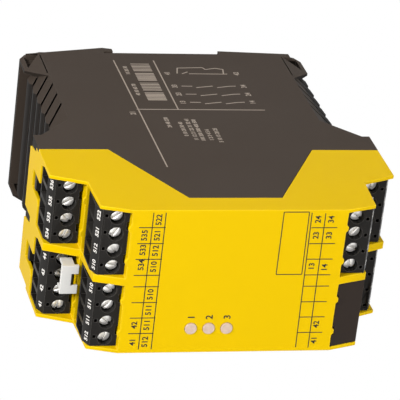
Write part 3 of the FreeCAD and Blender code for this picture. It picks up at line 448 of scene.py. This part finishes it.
YELLOW = (0.665, 0.437, 0.0)
CHARCOAL = (0.052, 0.040, 0.032)
finishes = {
    # Each lighter edge colour below is partly wear, partly a painted highlight on the edges.
    "hood_plastic": moulded_plastic("signal_yellow_plastic", YELLOW, (0.86, 0.68, 0.10), 0.44,
                                    2400.0, 0.12, 0.9, 0.0005, 0.03, 0.04),
    # The base's last value sets the painted shade on its end walls and lower hollow.
    "base_plastic": moulded_plastic("charcoal_plastic", CHARCOAL, (0.13, 0.108, 0.094), 0.55,
                                    2200.0, 0.30, 0.7, 0.0004, 0.12, 0.04, 0.86),
    "terminal_plastic": moulded_plastic("terminal_black_plastic", (0.0125, 0.0115, 0.0105),
                                        (0.17, 0.16, 0.15), 0.46, 3200.0, 0.15, 0.9, 0.00026, 0.1,
                                        0.08),
    "header_plastic": moulded_plastic("header_black_plastic", (0.014, 0.014, 0.014),
                                      (0.05, 0.05, 0.05), 0.5, 3200.0, 0.2, 0.4, 0.0002),
    "latch_plastic": moulded_plastic("latch_black_plastic", (0.03, 0.027, 0.025),
                                     (0.10, 0.09, 0.085), 0.45, 2600.0, 0.25, 0.6, 0.0003),
    "cover_plastic": moulded_plastic("cover_dark_plastic", (0.030, 0.022, 0.018),
                                     (0.12, 0.10, 0.09), 0.5, 2400.0, 0.2, 0.7, 0.0003, 0.08, 0.06),
    "clip_plastic": moulded_plastic("clip_white_plastic", (0.66, 0.655, 0.635), (0.85, 0.85, 0.83),
                                    0.45, 2600.0, 0.2, 0.4, 0.0003, 0.05),
    "light_body": moulded_plastic("light_body_plastic", (0.7, 0.68, 0.6), (0.8, 0.8, 0.75), 0.3),
    "relay_case": moulded_plastic("relay_case_plastic", (0.05, 0.05, 0.055), (0.12, 0.12, 0.12),
                                  0.3),
    "capacitor_can": moulded_plastic("can_sleeve", (0.02, 0.025, 0.05), (0.2, 0.2, 0.22), 0.25),
    "coil_core": plated_metal("lacquered_core", (0.20, 0.16, 0.13), 0.5, 3000.0, 0.3),
    "screw_steel": plated_metal("nickelled_screw", (0.90, 0.88, 0.84), 0.30, 9000.0, 0.12, 0.6),
    "cage_steel": plated_metal("zinc_plated_cage", (0.62, 0.62, 0.60), 0.38),
    "contact_metal": plated_metal("tinned_contact", (0.72, 0.71, 0.68), 0.3),
    "spring_steel": plated_metal("spring_strip", (0.58, 0.57, 0.55), 0.3),
    "lens_plastic": milky_lens("milky_light_pipe"),
    "circuit_board": board_laminate("green_board"),
}
front_ink = moulded_plastic("black_ink", (0.012, 0.011, 0.010), (0.02, 0.02, 0.02), 0.5,
                            4200.0, 0.1, 0.0)
side_ink = moulded_plastic("grey_ink", (0.31, 0.26, 0.215), (0.2, 0.17, 0.14), 0.55,
                           4200.0, 0.2, 0.0, shade_drift=0.3)
white_ink = moulded_plastic("white_ink", (0.72, 0.70, 0.67), (0.7, 0.7, 0.68), 0.5,
                            4200.0, 0.2, 0.0, shade_drift=0.1)


# ------------------------------------------------------------------ mouldings

def link(name, mesh):
    piece = bpy.data.objects.new(name, mesh)
    bpy.context.scene.collection.objects.link(piece)
    return piece


def plain_mesh(piece, name):
    """Turn a piece with live modifiers into a plain mesh object under a new name."""
    bpy.context.view_layer.update()
    graph = bpy.context.evaluated_depsgraph_get()
    mesh = bpy.data.meshes.new_from_object(piece.evaluated_get(graph), depsgraph=graph)
    mesh.name = name
    bpy.data.objects.remove(piece)
    return link(name, mesh)


def clean_copy(node):
    """The node's solid as a closed mesh with flat faces made whole."""
    shape = bmesh.new()
    shape.from_mesh(nodes[node].data)
    bmesh.ops.remove_doubles(shape, verts=shape.verts, dist=2e-6)
    bmesh.ops.dissolve_limit(shape, angle_limit=math.radians(0.8), verts=shape.verts,
                             edges=shape.edges, delimit={"NORMAL"})
    mesh = bpy.data.meshes.new(node + "_form")
    shape.to_mesh(mesh)
    shape.free()
    return mesh


def soften_edges(node, name, radius, cutter=None):
    """Stand-in for a node with its moulded edges rounded and its walls shaded flat."""
    draft = link(name + "_draft", clean_copy(node))
    if cutter:
        bores = draft.modifiers.new("round_bores", "BOOLEAN")
        bores.operation = "DIFFERENCE"
        bores.solver = "EXACT"
        bores.object = cutter
    edges = draft.modifiers.new("rounded_edges", "BEVEL")
    edges.width = radius
    edges.segments = 2
    edges.limit_method = "ANGLE"
    edges.angle_limit = ROUNDED_ABOVE
    edges.use_clamp_overlap = True
    draft.data.shade_smooth()
    rounded = plain_mesh(draft, name + "_rounded")
    if cutter:
        bpy.data.objects.remove(cutter)
    rounded.data.set_sharp_from_angle(angle=SHARP_ABOVE)
    flatness = rounded.modifiers.new("flat_walls", "WEIGHTED_NORMAL")
    flatness.keep_sharp = True
    flatness.weight = 100
    finish_piece(plain_mesh(rounded, name), node)


def finish_piece(piece, node):
    """Give a stand-in its node's finish, body and slot, and let it replace the node."""
    piece.data.materials.clear()
    piece.data.materials.append(finishes[slot_of_node[node]])
    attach(piece, body_of_node[node])
    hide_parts(node)


def screw_axes(node):
    """X and Z of a terminal's four screws, with Y of their heads' front and of their tips."""
    low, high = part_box(node)
    middle = (low.x + high.x) / 2
    level = (low.z + high.z) / 2
    return [(middle + POLE_PITCH * (pole - 1.5), level) for pole in range(4)], low.y, high.y


def add_lathe(shape, profile, across, level, sides):
    """A turned form about a line along Y: profile is (radius, y) from the axis to the axis."""
    rings = []
    for radius, y in profile:
        if radius < 1e-7:
            rings.append([shape.verts.new((across, y, level))])
            continue
        turns = [2 * math.pi * step / sides for step in range(sides)]
        rings.append([shape.verts.new((across + radius * math.cos(turn), y,
                                       level + radius * math.sin(turn))) for turn in turns])
    for near, far in zip(rings, rings[1:]):
        for step in range(sides):
            after = (step + 1) % sides
            corners = [near[step % len(near)], near[after % len(near)],
                       far[after % len(far)], far[step % len(far)]]
            shape.faces.new(list(dict.fromkeys(corners)))


def bore_cutter(plug):
    """Round bars that turn a plug's many-sided screw bores into round ones."""
    screws = plug.replace("plug_", "clamp_screws_")
    axes, front, _ = screw_axes(screws)
    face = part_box(plug)[0].y
    shape = bmesh.new()
    for across, level in axes:
        add_lathe(shape, [(0, face - 1 * MM), (BORE_RADIUS, face - 1 * MM),
                          (BORE_RADIUS, front + HEAD_HEIGHT), (0, front + HEAD_HEIGHT)],
                  across, level, 48)
    bmesh.ops.recalc_face_normals(shape, faces=shape.faces)
    mesh = bpy.data.meshes.new(plug + "_bores")
    shape.to_mesh(mesh)
    shape.free()
    return link(plug + "_bores", mesh)


def slot_turns(node):
    """The slots' angles, found from the slot's flanks on each of the node's screw heads."""
    axes, front, _ = screw_axes(node)
    turns = []
    for across, level in axes:
        turn = 0.0
        for face in nodes[node].data.polygons:
            middle = face.center
            off_axis = math.hypot(middle.x - across, middle.z - level)
            in_slot = off_axis < 1.2 * MM and front < middle.y < front + SLOT_CUT
            if in_slot and abs(face.normal.y) < 0.01:
                turn = math.atan2(face.normal.x, face.normal.z)
        turns.append(turn)
    return turns


def turn_screws(node):
    """Round slotted screws with turned threads in place of a node's many-sided ones."""
    axes, front, tip = screw_axes(node)
    shape = bmesh.new()
    rim = 0.16 * MM
    radius = HEAD_RADIUS
    ledge = front + HEAD_HEIGHT
    floor = front + SLOT_CUT
    thread = []
    core, crest, pitch = SHANK_RADIUS * 0.8, SHANK_RADIUS, 0.5 * MM
    y = ledge - 0.1 * MM
    while y < tip - pitch:
        thread += [(core, y), (crest, y + pitch / 2)]
        y += pitch
    for (across, level), turn in zip(axes, slot_turns(node)):
        add_lathe(shape, [(0, floor), (radius, floor), (radius, ledge), (core, ledge)] + thread
                  + [(core, y), (core * 0.7, tip), (0, tip)], across, level, 40)
        for side in (1, -1):
            add_half_head(shape, across, level, turn, side, radius, rim, front, floor)
    bmesh.ops.recalc_face_normals(shape, faces=shape.faces)
    mesh = bpy.data.meshes.new(node.replace("clamp", "turned"))
    shape.to_mesh(mesh)
    shape.free()
    mesh.shade_smooth()
    mesh.set_sharp_from_angle(angle=math.radians(32))
    finish_piece(link(mesh.name, mesh), node)


def add_half_head(shape, across, level, turn, side, radius, rim, front, floor):
    """The part of a screw head on one side of its slot, with its rim and slot edges rounded."""
    half = SLOT_WIDTH / 2
    along = Vector((math.cos(turn), 0, -math.sin(turn)))
    out = Vector((math.sin(turn), 0, math.cos(turn))) * side
    centre = Vector((across, 0, level))
    rings = []
    layers = [(0, floor + 0.02 * MM), (0, front + rim), (rim * 0.12, front + rim * 0.55),
              (rim * 0.45, front + rim * 0.15), (rim, front)]
    for inset, y in layers:
        reach = radius - inset
        chord = half + inset * 0.5
        start = math.asin(chord / reach)
        points = []
        for step in range(25):
            angle = start + (math.pi - 2 * start) * step / 24
            points.append(centre + along * (reach * math.cos(angle))
                          + out * (reach * math.sin(angle)) + Vector((0, y, 0)))
        rings.append([shape.verts.new(point) for point in points])
    for near, far in zip(rings, rings[1:]):
        for step in range(25):
            after = (step + 1) % 25
            shape.faces.new((near[step], near[after], far[after], far[step]))
    shape.faces.new(rings[-1])
    shape.faces.new(rings[0][::-1])


def dress_spring():
    """The latch's strip spring with rolled edges; the real spring shortens as the latch is pulled
    down.
    """
    draft = link("folded_spring_draft", clean_copy("latch_spring"))
    edges = draft.modifiers.new("rolled_edges", "BEVEL")
    edges.width = 0.06 * MM
    edges.segments = 2
    edges.limit_method = "ANGLE"
    draft.data.shade_smooth()
    piece = plain_mesh(draft, "folded_spring")
    piece.data.set_sharp_from_angle(angle=SHARP_ABOVE)
    finish_piece(piece, "latch_spring")
    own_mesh(piece)


def close_left_pocket():
    """The thin skin that closes the corner pocket of the base's upper end on its left side."""
    low = Vector((-21.4, -9.6, 40.6)) * MM
    high = Vector((-21.0, -1.2, 44.0)) * MM
    shape = bmesh.new()
    bmesh.ops.create_cube(shape, size=1.0)
    bmesh.ops.scale(shape, vec=high - low, verts=shape.verts)
    bmesh.ops.translate(shape, vec=(low + high) / 2, verts=shape.verts)
    mesh = bpy.data.meshes.new("corner_pocket_skin")
    shape.to_mesh(mesh)
    shape.free()
    mesh.materials.append(finishes["base_plastic"])
    piece = link("corner_pocket_skin", mesh)
    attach(piece, "housing")


def dress_nodes():
    """Every CAD node gets its finish; the mouldings that show are softened."""
    for node, solid in nodes.items():
        solid.data.materials.clear()
        solid.data.materials.append(finishes[slot_of_node[node]])
    soften_edges("base_housing", "base_moulding", 0.28 * MM)
    soften_edges("front_housing", "hood_moulding", 0.25 * MM)
    soften_edges("foot_latch", "foot_latch_moulding", 0.25 * MM)
    soften_edges("blank_cover", "blank_cover_moulding", 0.20 * MM)
    soften_edges("marker_clip", "marker_clip_moulding", 0.18 * MM)
    soften_edges("light_pipes", "light_pipe_moulding", 0.25 * MM)
    dress_spring()
    for node in nodes:
        if node.startswith("plug_"):
            soften_edges(node, node + "_moulding", 0.12 * MM, cutter=bore_cutter(node))
        if node.startswith("clamp_screws_"):
            turn_screws(node)


# ------------------------------------------------------------------ print

def flat_print(name, outlines, to_place, material):
    """Ink as one thin layer: outlines are polygons in the printed face's own plane."""
    shape = bmesh.new()
    for outline in outlines:
        low = [shape.verts.new(to_place(a, b, -INK_LIFT)) for a, b in outline]
        high = [shape.verts.new(to_place(a, b, INK_LIFT)) for a, b in outline]
        shape.faces.new(high)
        shape.faces.new(low[::-1])
        count = len(outline)
        for i in range(count):
            j = (i + 1) % count
            shape.faces.new((low[i], low[j], high[j], high[i]))
    bmesh.ops.recalc_face_normals(shape, faces=shape.faces)
    mesh = bpy.data.meshes.new(name)
    shape.to_mesh(mesh)
    shape.free()
    piece = link(name, mesh)
    mesh.materials.append(material)
    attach(piece, "housing")


def on_front(across, up, lift):
    return Vector((across * MM, FRONT - lift, up * MM))


def on_right(depth, up, lift):
    return Vector((RIGHT + lift, FRONT + depth * MM, up * MM))


def rule(a, b, width):
    """A straight printed line from a to b as a thin rectangle."""
    start = Vector(a)
    run = Vector(b) - start
    side = Vector((-run.y, run.x)).normalized() * (width / 2)
    end = start + run
    return [tuple(start - side), tuple(end - side), tuple(end + side), tuple(start + side)]


def draw(strokes, width):
    """Printed lines of one width, each given by its two ends."""
    return [rule(start, end, width) for start, end in strokes]


def print_number(name, text, size, place, across, up, material, body="housing"):
    """A plain number, centred on place, reading along across with its top towards up."""
    letters = bpy.data.curves.new(name, "FONT")
    letters.body = text
    letters.size = size
    letters.align_x = "CENTER"
    letters.align_y = "CENTER"
    letters.extrude = 0.015 * MM
    letters.offset = 0.055 * MM
    letters.resolution_u = 3
    draft = link(name + "_draft", letters)
    piece = plain_mesh(draft, name)
    facing = across.cross(up)
    turn = Matrix((across, up, facing)).transposed().to_4x4()
    piece.data.transform(Matrix.Translation(place) @ turn)
    piece.data.materials.clear()
    piece.data.materials.append(material)
    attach(piece, body)


X_WAY = Vector((1, 0, 0))
Y_WAY = Vector((0, 1, 0))
Z_WAY = Vector((0, 0, 1))
UPPER_CELLS = [2.25, 7.25, 12.15, 17.1]
LOWER_CELLS = [2.0, 7.0, 11.9, 16.9]


def print_front():
    """Thin label grids near both ends, the outlined field and the plain numbers."""
    strokes = [((-21.3, 25.05), (21.7, 25.1)), ((-21.3, 21.35), (21.7, 21.6)),
               ((-21.2, -20.9), (21.6, -20.2)), ((-21.4, -24.6), (21.4, -24.2))]
    for edge in UPPER_CELLS:
        strokes.append(((edge, 21.3), (edge, 28.8)))
        strokes.append(((-edge + 0.9, 21.2), (-edge + 0.9, 28.5)))
    for edge in LOWER_CELLS:
        strokes.append(((edge, -20.6), (edge, -28.1)))
        strokes.append(((-edge + 0.4, -20.8), (-edge + 0.4, -28.2)))
    corners = [(2.2, -12.2), (21.8, -12.1), (21.8, -19.4), (2.2, -19.7)]
    for i in range(4):
        strokes.append((corners[i], corners[(i + 1) % 4]))
    flat_print("front_label_grid", draw(strokes, FRONT_LINE), on_front, front_ink)
    rows = [(26.95, {-18.9: "41", -13.5: "42", 5.5: "534", 10.2: "533", 14.7: "535"}),
            (23.35, {-18.9: "512", -13.5: "511", -8.7: "511", -3.8: "510", 4.9: "510", 9.9: "512",
                     14.7: "521", 19.5: "522"}),
            (-22.3, {4.7: "13", 14.5: "23", 19.5: "24"}),
            (-26.1, {-19.0: "41", -13.9: "42", 4.3: "14", 14.5: "33", 19.5: "34"})]
    for number, (level, cells) in enumerate(rows):
        for index, (across, text) in enumerate(cells.items()):
            print_number("label_%d_%d" % (number, index), text, FRONT_TEXT,
                         on_front(across, level, 0), X_WAY, Z_WAY, front_ink)
    for index, level in enumerate((10.7, 5.5, 0.3)):
        print_number("light_number_%d" % (index + 1), str(index + 1), LIGHT_TEXT,
                     on_front(-11.2, level, 0), X_WAY, Z_WAY, front_ink)


def build_bar_row():
    """Geometry tree: a row of thin plain bars of uneven width, one after another along Y."""
    tree = bpy.data.node_groups.new("bar_row", "GeometryNodeTree")
    wanted = [("Bars", "NodeSocketInt", 6), ("Pitch", "NodeSocketFloat", 1.0 * MM),
              ("Narrowest", "NodeSocketFloat", 0.25 * MM), ("Widest", "NodeSocketFloat", 0.8 * MM),
              ("Length", "NodeSocketFloat", 5.8 * MM), ("Thickness", "NodeSocketFloat", 0.04 * MM),
              ("Seed", "NodeSocketInt", 1), ("Material", "NodeSocketMaterial", None)]
    for label, kind, value in wanted:
        socket = tree.interface.new_socket(label, in_out="INPUT", socket_type=kind)
        if value is not None:
            socket.default_value = value
    tree.interface.new_socket("Geometry", in_out="OUTPUT", socket_type="NodeSocketGeometry")
    given = tree.nodes.new("NodeGroupInput").outputs
    result = tree.nodes.new("NodeGroupOutput")
    step = tree.nodes.new("ShaderNodeCombineXYZ")
    tree.links.new(given["Pitch"], step.inputs["Y"])
    row = tree.nodes.new("GeometryNodeMeshLine")
    tree.links.new(given["Bars"], row.inputs["Count"])
    tree.links.new(step.outputs["Vector"], row.inputs["Offset"])
    bar = tree.nodes.new("GeometryNodeMeshCube")
    bar.inputs["Size"].default_value = (1, 1, 1)
    width = tree.nodes.new("FunctionNodeRandomValue")
    for label, source in (("Min", "Narrowest"), ("Max", "Widest"), ("Seed", "Seed")):
        socket = next(item for item in width.inputs if item.name == label and item.enabled)
        tree.links.new(given[source], socket)
    size = tree.nodes.new("ShaderNodeCombineXYZ")
    tree.links.new(given["Thickness"], size.inputs["X"])
    tree.links.new(next(item for item in width.outputs if item.enabled), size.inputs["Y"])
    tree.links.new(given["Length"], size.inputs["Z"])
    copies = tree.nodes.new("GeometryNodeInstanceOnPoints")
    tree.links.new(row.outputs["Mesh"], copies.inputs["Points"])
    tree.links.new(bar.outputs["Mesh"], copies.inputs["Instance"])
    tree.links.new(size.outputs["Vector"], copies.inputs["Scale"])
    real = tree.nodes.new("GeometryNodeRealizeInstances")
    tree.links.new(copies.outputs["Instances"], real.inputs["Geometry"])
    ink = tree.nodes.new("GeometryNodeSetMaterial")
    tree.links.new(real.outputs["Geometry"], ink.inputs["Geometry"])
    tree.links.new(given["Material"], ink.inputs["Material"])
    tree.links.new(ink.outputs["Geometry"], result.inputs["Geometry"])
    return tree


def print_bars():
    """Four groups of plain bars, printed along the side."""
    tree = build_bar_row()
    sockets = {item.name: item.identifier for item in tree.interface.items_tree}
    for group in range(4):
        name = "side_bars_%d" % (group + 1)
        draft = link(name + "_draft", bpy.data.meshes.new(name + "_draft"))
        row = draft.modifiers.new("bar_row", "NODES")
        row.node_group = tree
        row[sockets["Seed"]] = group + 3
        row[sockets["Material"]] = side_ink
        piece = plain_mesh(draft, name)
        piece.data.transform(Matrix.Translation(on_right(72.8 + 7.0 * group, 8.4, 0)))
        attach(piece, "housing")


def print_side():
    """Wiring diagram, ruled lines and rows of plain numbers on the right side."""
    strokes = [((101.5, 16.0), (27.2, 15.4)), ((101.5, 3.5), (66.0, 3.55)),
               ((66.0, 16.2), (66.0, -23.0))]
    for depth in (82.8, 77.0, 71.2):
        strokes += [((depth, -1.2), (depth, -4.5)), ((depth - 1, -5.6), (depth + 0.2, -10.9)),
                    ((depth - 0.9, -12.1), (depth + 0.2, -16.2)),
                    ((depth + 0.2, -16.2), (depth + 0.3, -18.1))]
    path = [(92.1, -1.9), (96.1, -2.8), (96.6, -10.8), (95.2, -11.4), (96.2, -14.7), (95.4, -17.0),
            (91.9, -16.4), (92.0, -17.6)]
    strokes += list(zip(path, path[1:]))
    strokes += [((91.9, -3.4), (93.3, -5.4)), ((91.9, -5.6), (91.9, -16.4))]
    flat_print("side_diagram", draw(strokes, SIDE_LINE), on_right, side_ink)
    numbers = {(92.1, 1.1): "41", (92.3, -20.6): "42", (82.7, 0.9): "33", (83.0, -20.6): "34",
               (77.0, 0.9): "23", (77.2, -20.6): "24", (71.1, 0.9): "13", (71.5, -20.6): "14",
               (63.4, 17.8): "21"}
    for index, ((depth, level), text) in enumerate(numbers.items()):
        print_number("side_number_%d" % index, text, SIDE_TEXT, on_right(depth, level, 0), Y_WAY,
                     Z_WAY, side_ink)
    rows = [(57.0, 8.7, "24 48 230"), (52.5, 5.0, "0 10 20 30 40"),
            (52.3, 2.6, "11 12 21 22 31 32 41"), (51.8, 0.6, "100 200 300 400 500"),
            (48.6, -1.9, "1 2 3 4 5 6"), (48.4, -4.5, "5 10 15 20 25"),
            (94.0, 13.4, "10 20 30"), (80.0, 13.4, "40 50 60 70")]
    for index, (depth, level, text) in enumerate(rows):
        print_number("side_row_%d" % index, text, ROW_TEXT, on_right(depth, level, 0), Y_WAY,
                     Z_WAY, side_ink)


def print_plugs():
    """White plain numbers on the sloped edge of each plug, one to a pole."""
    texts = {"plug_upper_rear_right": ("534", "533", "535", "536"),
             "plug_upper_front_right": ("510", "512", "521", "522"),
             "plug_upper_rear_left": ("41", "42", "43", "44"),
             "plug_upper_front_left": ("512", "511", "511", "510"),
             "plug_lower_rear_right": ("14", "24", "33", "34"),
             "plug_lower_front_right": ("13", "16", "23", "24"),
             "plug_lower_rear_left": ("41", "42", "43", "44")}
    for node, row in texts.items():
        low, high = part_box(node)
        end = 1 if "upper" in node else -1
        tier_edge = high.z if end > 0 else low.z
        if "rear" in node:
            tier_edge -= 0.1 * MM * end
        slope = Vector((0, 3.2, 1.5 * end)).normalized()
        middle = Vector(((low.x + high.x) / 2, low.y + 1.6 * MM, tier_edge - 0.75 * MM * end))
        way_up = slope if end > 0 else -slope
        for pole, text in enumerate(row):
            place = middle + X_WAY * POLE_PITCH * (pole - 1.5)
            print_number("%s_number_%d" % (node, pole), text, PLUG_TEXT, place, X_WAY, way_up,
                         white_ink, body_of_node[node])


bpy.context.scene.view_settings.view_transform = "Standard"
place_camera()
light_studio()
lay_floor()
dress_nodes()
close_left_pocket()
print_front()
print_side()
print_bars()
print_plugs()
